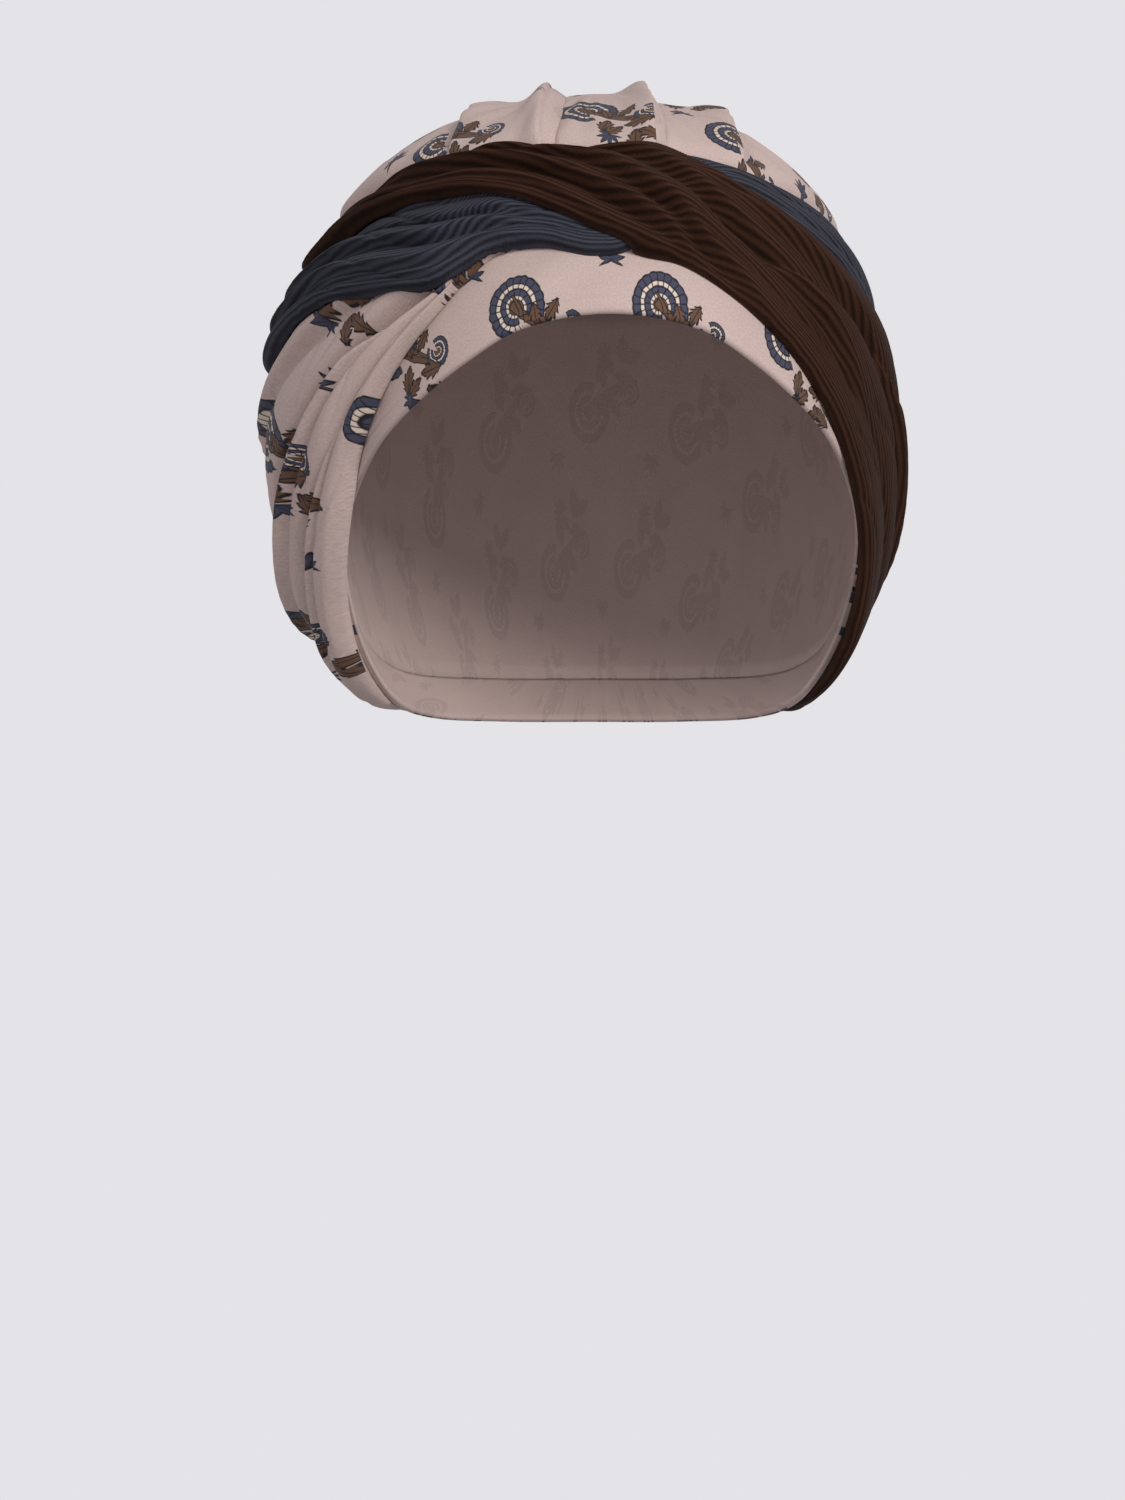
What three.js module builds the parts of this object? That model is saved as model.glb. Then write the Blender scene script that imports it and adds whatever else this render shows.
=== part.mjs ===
// A turban headwrap: a gathered jersey crown, a folded brim round the face and three wound
// jersey strands that cross at the front and again at the back.
//
// Millimetres, +Z up. The wearer faces -Y and the wearer's left is +X. The origin is the top of
// the head, where the inside of the crown rests on it.
//
// Every piece is described on the head it fits. A place is an azimuth (0 at the forehead, +90 at
// the wearer's left ear, 180 at the back), a rise (0 at the widest level of the head, 90 at its
// top, negative towards the nape) and a stand-off outwards from the head. Angles are in degrees.

import * as THREE from 'three';

// The head that the hollow is made for.
const HEAD = {
  halfWidth: 77,
  halfDepth: 96,
  crownHeight: 103,
  napeDepth: 105,
  jawPower: 3.2,
};

// Cloth walls and the gap that neighbouring pieces keep.
const CLOTH = {
  crownWall: 1.8,
  brimWall: 2.2,
  strandEdge: 1.2,
  gap: 1,
  seamGap: 0.6,
};

// The colours of the three cloths.
const COLOUR = { print: 0xb9a49d, navy: 0x343846, brown: 0x3a2519 };

// How finely each surface is faceted.
const FACETS = {
  crownRound: 54,
  crownUnder: 3,
  crownLedge: 4,
  crownOver: 6,
  brimRound: 64,
  brimAcross: 3,
  strandRound: 64,
  foldAcross: 4,
  strandInside: 4,
};

// The brim's hem and the seam above it, the same on both sides of the face.
const BRIM_TURN = 2.5;
const BRIM = [
  { at: 0, hem: 20.5, seam: 37 },
  { at: 20, hem: 18, seam: 35.5 },
  { at: 33, hem: 12.5, seam: 31 },
  { at: 45, hem: 6.5, seam: 22 },
  { at: 58, hem: -0.5, seam: 11 },
  { at: 68, hem: -7, seam: 1 },
  { at: 78, hem: -14, seam: -9 },
  { at: 86, hem: -22, seam: -18 },
  { at: 93, hem: -33, seam: -27 },
  { at: 103, hem: -43, seam: -34 },
  { at: 120, hem: -47, seam: -38 },
  { at: 150, hem: -48, seam: -39 },
  { at: 180, hem: -48, seam: -39 },
];

// How far the crown swells out over the upper edge of the strands.
const CROWN = [
  { at: -180, swell: 12 },
  { at: -145, swell: 14 },
  { at: -110, swell: 16 },
  { at: -80, swell: 17 },
  { at: -50, swell: 13 },
  { at: -25, swell: 9 },
  { at: 0, swell: 7 },
  { at: 25, swell: 5 },
  { at: 55, swell: 7 },
  { at: 86, swell: 9.5 },
  { at: 120, swell: 11 },
  { at: 150, swell: 12 },
];
const LEDGE = { clear: 2, width: 5 };
const CROWN_TOP = { standOff: 0.3, from: 28, full: 88 };

// Pleats that run over the top from front to back: where each crosses the middle of the head,
// how much it leans, its width and its height.
const PLEATS = [
  { across: -52, lean: 0.25, width: 13, height: 1 },
  { across: -30, lean: 0.16, width: 11, height: 3 },
  { across: -13, lean: 0.05, width: 8, height: 5 },
  { across: 11, lean: -0.06, width: 8, height: 4 },
  { across: 31, lean: -0.16, width: 10, height: 2 },
  { across: 52, lean: -0.25, width: 13, height: 0.3 },
];
const PLEAT_FADE = { none: 42, full: 64 };
const PLEAT_SHARPNESS = 4;

// The rise where the crown's rings end and its top begins.
const CROWN_TIP = 84;

// Strands. Each row is a station round the head: the rise of the strand's upper and lower edge,
// how far the section slants (the upper edge leads the station and the lower edge trails it),
// the thickness of its lower, middle and upper fold, and where one fold meets the next as a
// fraction of the width from the lower edge.
const PRINT_STRAND = {
  name: 'print_band',
  colour: COLOUR.print,
  crease: 0.5,
  rows: [
    { at: -180, top: 8, low: -45, slant: 0, lower: 6, middle: 9, upper: 5, first: 0.36, second: 0.7 },
    { at: -150, top: 10, low: -45, slant: 0, lower: 7, middle: 12, upper: 5, first: 0.36, second: 0.7 },
    { at: -122, top: 12, low: -44.5, slant: -3, lower: 6, middle: 12, upper: 14, first: 0.27, second: 0.5 },
    { at: -103, top: 14.5, low: -42.5, slant: -5, lower: 8, middle: 14.5, upper: 17, first: 0.22, second: 0.43 },
    { at: -90, top: 17, low: -36, slant: -5, lower: 9, middle: 15.5, upper: 19, first: 0.21, second: 0.43 },
    { at: -80, top: 20, low: -24, slant: -4, lower: 9, middle: 14.5, upper: 17.5, first: 0.22, second: 0.47 },
    { at: -69, top: 23, low: -12, slant: -2, lower: 8, middle: 12, upper: 13.5, first: 0.22, second: 0.49 },
    { at: -58, top: 26, low: 0, slant: 1, lower: 6.5, middle: 9.5, upper: 9.5, first: 0.22, second: 0.5 },
    { at: -47, top: 28, low: 11, slant: 2.5, lower: 5, middle: 7, upper: 6, first: 0.22, second: 0.5 },
    { at: -36, top: 30.5, low: 20, slant: 3.5, lower: 4, middle: 4.5, upper: 3, first: 0.25, second: 0.48 },
    { at: -22, top: 35, low: 31.5, slant: 2, lower: 2.6, middle: 2.8, upper: 2.6, first: 0.33, second: 0.67 },
    { at: 0, top: 38.5, low: 34, slant: 0, lower: 2.2, middle: 2.4, upper: 2.2, first: 0.33, second: 0.67 },
    { at: 20, top: 45, low: 39, slant: 0, lower: 2.2, middle: 2.4, upper: 2.2, first: 0.33, second: 0.67 },
    { at: 38, top: 46, low: 36, slant: 0, lower: 2.4, middle: 2.6, upper: 2.4, first: 0.33, second: 0.67 },
    { at: 55, top: 41, low: 27, slant: 1, lower: 2.4, middle: 2.8, upper: 2.6, first: 0.33, second: 0.67 },
    { at: 72, top: 34, low: 15, slant: 2, lower: 2.4, middle: 3, upper: 3, first: 0.33, second: 0.67 },
    { at: 90, top: 24, low: -2, slant: 4, lower: 2.6, middle: 3.2, upper: 3.2, first: 0.33, second: 0.67 },
    { at: 108, top: 16, low: -23, slant: 6, lower: 3, middle: 3.6, upper: 3.6, first: 0.33, second: 0.67 },
    { at: 128, top: 11, low: -41, slant: 6, lower: 3.6, middle: 5, upper: 4, first: 0.34, second: 0.68 },
    { at: 152, top: 9, low: -44.5, slant: 2, lower: 5, middle: 7, upper: 4.5, first: 0.35, second: 0.7 },
  ],
};
const NAVY_STRAND = {
  name: 'navy_band',
  colour: COLOUR.navy,
  crease: 0.4,
  rows: [
    { at: -180, top: 24, low: 2, slant: 0, lower: 5, middle: 6, upper: 5.5, first: 0.34, second: 0.67 },
    { at: -150, top: 25, low: 4, slant: 0, lower: 5, middle: 6.5, upper: 6, first: 0.34, second: 0.67 },
    { at: -120, top: 27, low: 8, slant: 0, lower: 4, middle: 7, upper: 7, first: 0.34, second: 0.66 },
    { at: -95, top: 28.5, low: 11, slant: 0, lower: 2.4, middle: 6.5, upper: 7.5, first: 0.34, second: 0.62 },
    { at: -80, top: 33, low: 15.5, slant: 0, lower: 2.4, middle: 6.5, upper: 7.5, first: 0.34, second: 0.62 },
    { at: -66, top: 39, low: 20, slant: 0, lower: 3, middle: 8, upper: 7.5, first: 0.34, second: 0.6 },
    { at: -50, top: 41, low: 22.5, slant: 0, lower: 4.2, middle: 7, upper: 8, first: 0.32, second: 0.58 },
    { at: -36, top: 42, low: 24.5, slant: 0, lower: 4.5, middle: 5.5, upper: 7, first: 0.3, second: 0.52 },
    { at: -25, top: 41.5, low: 30.5, slant: 0, lower: 3.5, middle: 4, upper: 5.5, first: 0.26, second: 0.5 },
    { at: -14, top: 40, low: 31.8, slant: 0, lower: 3, middle: 3.5, upper: 4, first: 0.28, second: 0.55 },
    { at: 0, top: 41.5, low: 30.3, slant: 2, lower: 2.4, middle: 3, upper: 3, first: 0.33, second: 0.66 },
    { at: 11, top: 46, low: 31.8, slant: 3, lower: 2.4, middle: 3, upper: 3, first: 0.33, second: 0.66 },
    { at: 22, top: 51, low: 40, slant: 2, lower: 2.6, middle: 3.2, upper: 3.5, first: 0.33, second: 0.66 },
    { at: 38, top: 48.5, low: 41, slant: 0, lower: 3, middle: 3.8, upper: 4, first: 0.33, second: 0.66 },
    { at: 54, top: 44, low: 36, slant: 0, lower: 3.4, middle: 4.2, upper: 4.5, first: 0.33, second: 0.66 },
    { at: 70, top: 40, low: 29, slant: 0, lower: 4, middle: 5, upper: 5, first: 0.33, second: 0.66 },
    { at: 86, top: 35, low: 20, slant: 0, lower: 4.5, middle: 5.5, upper: 5.5, first: 0.33, second: 0.66 },
    { at: 102, top: 30, low: 12, slant: 0, lower: 4.5, middle: 6, upper: 6, first: 0.34, second: 0.67 },
    { at: 125, top: 27, low: 6, slant: 0, lower: 4.5, middle: 6, upper: 6, first: 0.34, second: 0.67 },
    { at: 152, top: 25, low: 3, slant: 0, lower: 5, middle: 6, upper: 5.5, first: 0.34, second: 0.67 },
  ],
};
const BROWN_STRAND = {
  name: 'brown_band',
  colour: COLOUR.brown,
  crease: 0.35,
  rows: [
    { at: -180, top: 13, low: -11, slant: -7, lower: 4.5, middle: 5.5, upper: 4.5, first: 0.36, second: 0.68 },
    { at: -156, top: 27, low: 7, slant: -6, lower: 4.5, middle: 5.5, upper: 4.5, first: 0.36, second: 0.68 },
    { at: -130, top: 36, low: 23, slant: -3, lower: 3.2, middle: 3.6, upper: 3, first: 0.35, second: 0.68 },
    { at: -108, top: 33.5, low: 26, slant: 0, lower: 2.2, middle: 2.4, upper: 2.2, first: 0.34, second: 0.67 },
    { at: -90, top: 31.5, low: 26.5, slant: 0, lower: 2, middle: 2.2, upper: 2, first: 0.33, second: 0.67 },
    { at: -78, top: 37, low: 31.5, slant: 0, lower: 2, middle: 2.2, upper: 2, first: 0.33, second: 0.67 },
    { at: -62, top: 42, low: 36, slant: 0, lower: 2.2, middle: 2.4, upper: 2.2, first: 0.33, second: 0.67 },
    { at: -46, top: 45, low: 38, slant: 0, lower: 2.6, middle: 3, upper: 2.8, first: 0.34, second: 0.68 },
    { at: -30, top: 48, low: 38.5, slant: 0, lower: 3.2, middle: 4, upper: 3.6, first: 0.35, second: 0.7 },
    { at: -15, top: 50, low: 37, slant: 0, lower: 3.6, middle: 4.6, upper: 4, first: 0.36, second: 0.72 },
    { at: 0, top: 50.5, low: 33, slant: 0, lower: 4.2, middle: 5.4, upper: 4.6, first: 0.36, second: 0.7 },
    { at: 13, top: 48, low: 30.2, slant: 3, lower: 4.6, middle: 5.8, upper: 4.8, first: 0.32, second: 0.58 },
    { at: 26, top: 41, low: 28.5, slant: 6, lower: 4.6, middle: 5.8, upper: 5, first: 0.28, second: 0.5 },
    { at: 38, top: 35.5, low: 23.4, slant: 7, lower: 4.6, middle: 5.6, upper: 5, first: 0.26, second: 0.5 },
    { at: 50, top: 29, low: 17.2, slant: 9, lower: 4.6, middle: 5.6, upper: 5, first: 0.26, second: 0.55 },
    { at: 61, top: 22, low: 10.2, slant: 11, lower: 4.8, middle: 6, upper: 5.4, first: 0.28, second: 0.64 },
    { at: 77, top: 13, low: -5, slant: 11, lower: 4.8, middle: 6, upper: 5, first: 0.3, second: 0.68 },
    { at: 88, top: 5, low: -16.5, slant: 11, lower: 4.8, middle: 6, upper: 5, first: 0.32, second: 0.68 },
    { at: 100, top: -3, low: -31, slant: 12, lower: 5, middle: 6.4, upper: 5.2, first: 0.34, second: 0.68 },
    { at: 115, top: -9, low: -42, slant: 10, lower: 4.4, middle: 5.6, upper: 4.8, first: 0.36, second: 0.68 },
    { at: 135, top: -7, low: -42, slant: 4, lower: 4.2, middle: 5.4, upper: 4.6, first: 0.36, second: 0.68 },
    { at: 156, top: 1, low: -30, slant: -3, lower: 4.4, middle: 5.4, upper: 4.5, first: 0.36, second: 0.68 },
  ],
};
const STRANDS = [PRINT_STRAND, NAVY_STRAND, BROWN_STRAND];

// How many grid steps a strand takes to come down from the edge of one below, and how finely a
// strand is followed when it is laid.
const DRAPE_REACH = 2;
const LAYING = { round: 720, foldAcross: 24 };

const CIRCLE = 360;
const rad = THREE.MathUtils.degToRad;

// A place on or above the head.
function place(azimuth, rise, standOff) {
  const a = rad(azimuth);
  const r = rad(rise);
  const above = rise >= 0;
  const backness = (1 - Math.cos(a)) / 2;
  const jaw = Math.pow(1 - Math.pow(Math.abs(Math.sin(r)), HEAD.jawPower), 1 / HEAD.jawPower);
  const girth = above ? Math.cos(r) : THREE.MathUtils.lerp(jaw, Math.cos(r), backness);
  const height = (above ? HEAD.crownHeight : HEAD.napeDepth) * Math.sin(r);
  const skin = new THREE.Vector3(
    HEAD.halfWidth * girth * Math.sin(a),
    -HEAD.halfDepth * girth * Math.cos(a),
    height - HEAD.crownHeight,
  );
  const outwards = new THREE.Vector3(
    Math.sin(a) * Math.cos(r) / HEAD.halfWidth,
    -Math.cos(a) * Math.cos(r) / HEAD.halfDepth,
    Math.sin(r) / HEAD.crownHeight,
  ).normalize();
  return skin.addScaledVector(outwards, standOff);
}

// A column of a table at any station, by a smooth curve through its rows. The rows close on
// themselves round the head.
function column(rows, name, station) {
  const count = rows.length;
  const turn = Math.floor((station - rows[0].at) / CIRCLE);
  const x = station - turn * CIRCLE;
  let first = count - 1;
  while (rows[first].at > x) first -= 1;
  const at = (k) => rows[(k + count) % count].at + CIRCLE * Math.floor(k / count);
  const value = (k) => rows[(k + count) % count][name];
  const slope = (k) => (value(k + 1) - value(k - 1)) / (at(k + 1) - at(k - 1));
  const width = at(first + 1) - at(first);
  const u = (x - at(first)) / width;
  const hermite = [
    (1 + 2 * u) * (1 - u) ** 2,
    u * (1 - u) ** 2 * width,
    u * u * (3 - 2 * u),
    u * u * (u - 1) * width,
  ];
  return hermite[0] * value(first) + hermite[1] * slope(first)
    + hermite[2] * value(first + 1) + hermite[3] * slope(first + 1);
}

// The brim's table is given for one side; this spreads it over both.
const BRIM_BOTH_SIDES = [
  ...BRIM.slice(1).reverse().map((row) => ({ ...row, at: -row.at })),
  ...BRIM.slice(0, -1),
];
const brimAt = (name, azimuth) => column(BRIM_BOTH_SIDES, name, azimuth - BRIM_TURN);

// The highest upper edge of the strands at an azimuth.
function strandTop(azimuth) {
  return Math.max(...STRANDS.map((strand) => {
    const station = azimuth - column(strand.rows, 'slant', azimuth);
    return column(strand.rows, 'top', station);
  }));
}

// How far the crown's outside stands off the head: close under the strands, swelling out above
// them, with its pleats over the top.
function crownStandOff(azimuth, rise) {
  const ledge = strandTop(azimuth) + LEDGE.clear;
  const over = THREE.MathUtils.clamp((rise - ledge) / LEDGE.width, 0, 1);
  const swell = column(CROWN, 'swell', azimuth) * Math.sqrt(over * (2 - over));
  const topShare = THREE.MathUtils.smoothstep(rise, CROWN_TOP.from, CROWN_TOP.full);
  const base = THREE.MathUtils.lerp(swell, CROWN_TOP.standOff, topShare);
  const skin = place(azimuth, rise, 0);
  const fade = THREE.MathUtils.smoothstep(rise, PLEAT_FADE.none, PLEAT_FADE.full);
  const pleats = PLEATS.reduce((sum, pleat) => {
    const away = (skin.x - pleat.across - pleat.lean * skin.y) / pleat.width;
    return sum + pleat.height * Math.exp(-PLEAT_SHARPNESS * away * away);
  }, 0);
  return CLOTH.crownWall + base + fade * pleats;
}

// What is already on the head: the highest stand-off laid so far, on a grid of azimuth and rise.
// A strand laid later rests on it, bridging the steps at the edges of what is below.
class Laid {
  constructor(standOff) {
    this.step = 2;
    this.columns = CIRCLE / this.step;
    this.rows = 180 / this.step;
    this.height = new Float32Array(this.columns * this.rows).fill(standOff);
  }

  index(i, j) {
    const wrapped = (i + 2 * this.columns) % this.columns;
    const clamped = THREE.MathUtils.clamp(j, 0, this.rows - 1);
    return wrapped * this.rows + clamped;
  }

  cover(azimuth, rise, standOff) {
    const i = Math.round(azimuth / this.step);
    const j = Math.round((rise + 90) / this.step);
    const k = this.index(i, j);
    this.height[k] = Math.max(this.height[k], standOff);
  }

  // Each cell takes what `combine` makes of the cells within `reach` steps of it.
  filtered(reach, combine) {
    const result = new Float32Array(this.height.length);
    for (let i = 0; i < this.columns; i += 1) {
      for (let j = 0; j < this.rows; j += 1) {
        const near = [];
        for (let di = -reach; di <= reach; di += 1) {
          for (let dj = -reach; dj <= reach; dj += 1) {
            near.push(this.height[this.index(i + di, j + dj)]);
          }
        }
        result[this.index(i, j)] = combine(near);
      }
    }
    return result;
  }

  // Spreads the highest cells by one reach, then evens them out over the same reach, so that the
  // result is smooth and nowhere lower than what is laid.
  smoothed(reach) {
    const spread = new Laid(0);
    spread.height = this.filtered(reach, (near) => Math.max(...near));
    const even = new Laid(0);
    even.height = spread.filtered(reach, (near) => near.reduce((a, b) => a + b, 0) / near.length);
    return even;
  }

  at(azimuth, rise) {
    const x = azimuth / this.step;
    const y = (rise + 90) / this.step;
    const i = Math.floor(x);
    const j = Math.floor(y);
    const low = THREE.MathUtils.lerp(this.height[this.index(i, j)], this.height[this.index(i + 1, j)], x - i);
    const high = THREE.MathUtils.lerp(
      this.height[this.index(i, j + 1)],
      this.height[this.index(i + 1, j + 1)],
      x - i,
    );
    return THREE.MathUtils.lerp(low, high, y - j);
  }
}

// A closed surface from rings of points: the rings close round the head, and so does each ring.
function ringSurface(rings) {
  const positions = rings.flat().flatMap((p) => [p.x, p.y, p.z]);
  const round = rings.length;
  const across = rings[0].length;
  const indices = [];
  for (let i = 0; i < round; i += 1) {
    for (let j = 0; j < across; j += 1) {
      const a = i * across + j;
      const b = ((i + 1) % round) * across + j;
      const c = ((i + 1) % round) * across + (j + 1) % across;
      const d = i * across + (j + 1) % across;
      indices.push(a, c, b, a, d, c);
    }
  }
  const geometry = new THREE.BufferGeometry();
  geometry.setAttribute('position', new THREE.Float32BufferAttribute(positions, 3));
  geometry.setIndex(indices);
  return geometry;
}

// A closed dome shell from profiles that each run from the inside of the top, down the inside,
// round the edge and up the outside to the top.
function domeSurface(profiles, insideTop, outsideTop) {
  const positions = profiles.flat().concat([insideTop, outsideTop]).flatMap((p) => [p.x, p.y, p.z]);
  const round = profiles.length;
  const along = profiles[0].length;
  const inner = round * along;
  const outer = inner + 1;
  const indices = [];
  for (let i = 0; i < round; i += 1) {
    const here = i * along;
    const next = ((i + 1) % round) * along;
    indices.push(inner, next, here);
    indices.push(outer, here + along - 1, next + along - 1);
    for (let j = 0; j < along - 1; j += 1) {
      indices.push(here + j, next + j + 1, here + j + 1, here + j, next + j, next + j + 1);
    }
  }
  const geometry = new THREE.BufferGeometry();
  geometry.setAttribute('position', new THREE.Float32BufferAttribute(positions, 3));
  geometry.setIndex(indices);
  return geometry;
}

const steps = (count) => Array.from({ length: count + 1 }, (_, k) => k / count);
const between = (from, to, count) => steps(count).slice(0, -1).map((k) => from + (to - from) * k);
const stations = (count) => Array.from({ length: count }, (_, k) => -180 + (CIRCLE * k) / count);

function clothMesh(name, geometry, colour) {
  geometry.computeVertexNormals();
  const material = new THREE.MeshStandardMaterial({ color: colour, roughness: 0.9, metalness: 0 });
  const mesh = new THREE.Mesh(geometry, material);
  mesh.name = name;
  return mesh;
}

function makeCrown() {
  const seamGap = THREE.MathUtils.radToDeg(CLOTH.seamGap / HEAD.halfDepth);
  const profiles = stations(FACETS.crownRound).map((azimuth) => {
    const ledge = strandTop(azimuth) + LEDGE.clear;
    const lowest = brimAt('seam', azimuth) + seamGap;
    const rises = [
      ...between(CROWN_TIP, ledge + LEDGE.width, FACETS.crownOver),
      ...between(ledge + LEDGE.width, ledge, FACETS.crownLedge),
      ...between(ledge, lowest, FACETS.crownUnder),
      lowest,
    ];
    const inside = rises.map((r) => place(azimuth, r, crownStandOff(azimuth, r) - CLOTH.crownWall));
    const outside = rises.map((r) => place(azimuth, r, crownStandOff(azimuth, r)));
    return inside.concat(outside.reverse());
  });
  const top = crownStandOff(0, 90);
  const geometry = domeSurface(profiles, place(0, 90, top - CLOTH.crownWall), place(0, 90, top));
  return clothMesh('crown', geometry, COLOUR.print);
}

function makeBrim() {
  const rings = stations(FACETS.brimRound).map((azimuth) => {
    const hem = brimAt('hem', azimuth);
    const seam = brimAt('seam', azimuth);
    const rises = steps(FACETS.brimAcross).map((k) => THREE.MathUtils.lerp(hem, seam, k));
    const inside = rises.map((r) => place(azimuth, r, 0));
    const outside = rises.map((r) => place(azimuth, r, CLOTH.brimWall));
    return inside.concat(outside.reverse());
  });
  return clothMesh('brim', ringSurface(rings), COLOUR.print);
}

// The thickness of a strand at a share `within` of one of its folds. It falls to the creases on
// either side of the fold, and to a thin edge at the sides of the strand.
function foldThickness(heights, fold, within, crease) {
  const dip = (k) => {
    if (k === 0 || k === heights.length) return CLOTH.strandEdge;
    return Math.min(heights[k - 1], heights[k]) * (1 - crease);
  };
  const level = THREE.MathUtils.lerp(dip(fold), dip(fold + 1), within);
  const arch = Math.sqrt(Math.max(0, 1 - (2 * within - 1) ** 2));
  return level + (heights[fold] - (dip(fold) + dip(fold + 1)) / 2) * arch;
}

// Lays a strand on what is below it and returns its mesh.
function makeStrand(strand, laid) {
  const below = laid.smoothed(DRAPE_REACH);
  const rest = (azimuth, rise) => below.at(azimuth, rise) + CLOTH.gap;
  const section = (station, perFold) => {
    const value = (name) => column(strand.rows, name, station);
    const heights = [value('lower'), value('middle'), value('upper')];
    const bounds = [0, value('first'), value('second'), 1];
    const spot = (fraction, thickness) => {
      const azimuth = station + value('slant') * (2 * fraction - 1);
      const rise = THREE.MathUtils.lerp(value('low'), value('top'), fraction);
      return { azimuth, rise, standOff: rest(azimuth, rise) + thickness };
    };
    const outside = heights.flatMap((_, fold) => steps(perFold).slice(fold ? 1 : 0).map((within) => {
      const fraction = THREE.MathUtils.lerp(bounds[fold], bounds[fold + 1], within);
      return spot(fraction, foldThickness(heights, fold, within, strand.crease));
    }));
    const inside = steps(FACETS.strandInside).map((fraction) => spot(fraction, 0));
    return { inside, outside };
  };
  const rings = stations(FACETS.strandRound).map((station) => {
    const { inside, outside } = section(station, FACETS.foldAcross);
    return inside.concat(outside.reverse()).map((s) => place(s.azimuth, s.rise, s.standOff));
  });
  for (const station of stations(LAYING.round)) {
    for (const s of section(station, LAYING.foldAcross).outside) {
      laid.cover(s.azimuth, s.rise, s.standOff);
    }
  }
  return clothMesh(strand.name, ringSurface(rings), strand.colour);
}

const laid = new Laid(CLOTH.brimWall);
const headwrap = new THREE.Group();
headwrap.name = 'turban_headwrap';
headwrap.add(makeCrown(), makeBrim());
for (const strand of STRANDS) {
  headwrap.add(makeStrand(strand, laid));
}

export default headwrap;
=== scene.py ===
"""The looks of the turban headwrap: cloth surfaces with their folds, print and rib, light and
camera. Lengths are in millimetres until a mesh is made, and angles are in degrees."""

import math

import bmesh
import bpy
import numpy as np
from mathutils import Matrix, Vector


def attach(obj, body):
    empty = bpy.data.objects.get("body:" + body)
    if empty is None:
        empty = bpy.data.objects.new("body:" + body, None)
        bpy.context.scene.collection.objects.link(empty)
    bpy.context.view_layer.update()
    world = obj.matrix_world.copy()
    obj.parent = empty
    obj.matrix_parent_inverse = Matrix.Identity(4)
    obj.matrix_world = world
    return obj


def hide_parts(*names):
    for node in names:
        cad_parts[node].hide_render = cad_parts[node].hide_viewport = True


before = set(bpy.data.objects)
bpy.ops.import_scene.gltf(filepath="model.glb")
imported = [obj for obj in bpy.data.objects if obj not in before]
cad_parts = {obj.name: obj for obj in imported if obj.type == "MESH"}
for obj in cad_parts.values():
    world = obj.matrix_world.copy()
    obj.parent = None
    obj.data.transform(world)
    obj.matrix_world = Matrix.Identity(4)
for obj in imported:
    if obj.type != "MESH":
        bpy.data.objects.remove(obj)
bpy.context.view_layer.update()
MM = 0.001

# The same head, cloth and tables as the part's source.
HALF_WIDTH, HALF_DEPTH = 77, 96
CROWN_HEIGHT, NAPE_DEPTH = 103, 105
JAW_POWER = 3.2
CROWN_WALL, BRIM_WALL = 1.8, 2.2
BRIM_TURN = 2.5


def table(columns, rows):
    return dict(zip(columns.split(), np.array(rows, float).T))


BRIM = table("at hem seam", [
    (0, 20.5, 37),
    (20, 18, 35.5),
    (33, 12.5, 31),
    (45, 6.5, 22),
    (58, -0.5, 11),
    (68, -7, 1),
    (78, -14, -9),
    (86, -22, -18),
    (93, -33, -27),
    (103, -43, -34),
    (120, -47, -38),
    (150, -48, -39),
    (180, -48, -39),
])
CROWN = table("at swell", [
    (-180, 12),
    (-145, 14),
    (-110, 16),
    (-80, 17),
    (-50, 13),
    (-25, 9),
    (0, 7),
    (25, 5),
    (55, 7),
    (86, 9.5),
    (120, 11),
    (150, 12),
])
PRINT_STRAND = table("at top low slant lower middle upper first second", [
    (-180, 8, -45, 0, 6, 9, 5, 0.36, 0.7),
    (-150, 10, -45, 0, 7, 12, 5, 0.36, 0.7),
    (-122, 12, -44.5, -3, 6, 12, 14, 0.27, 0.5),
    (-103, 14.5, -42.5, -5, 8, 14.5, 17, 0.22, 0.43),
    (-90, 17, -36, -5, 9, 15.5, 19, 0.21, 0.43),
    (-80, 20, -24, -4, 9, 14.5, 17.5, 0.22, 0.47),
    (-69, 23, -12, -2, 8, 12, 13.5, 0.22, 0.49),
    (-58, 26, 0, 1, 6.5, 9.5, 9.5, 0.22, 0.5),
    (-47, 28, 11, 2.5, 5, 7, 6, 0.22, 0.5),
    (-36, 30.5, 20, 3.5, 4, 4.5, 3, 0.25, 0.48),
    (-22, 35, 31.5, 2, 2.6, 2.8, 2.6, 0.33, 0.67),
    (0, 38.5, 34, 0, 2.2, 2.4, 2.2, 0.33, 0.67),
    (20, 45, 39, 0, 2.2, 2.4, 2.2, 0.33, 0.67),
    (38, 46, 36, 0, 2.4, 2.6, 2.4, 0.33, 0.67),
    (55, 41, 27, 1, 2.4, 2.8, 2.6, 0.33, 0.67),
    (72, 34, 15, 2, 2.4, 3, 3, 0.33, 0.67),
    (90, 24, -2, 4, 2.6, 3.2, 3.2, 0.33, 0.67),
    (108, 16, -23, 6, 3, 3.6, 3.6, 0.33, 0.67),
    (128, 11, -41, 6, 3.6, 5, 4, 0.34, 0.68),
    (152, 9, -44.5, 2, 5, 7, 4.5, 0.35, 0.7),
])
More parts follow.
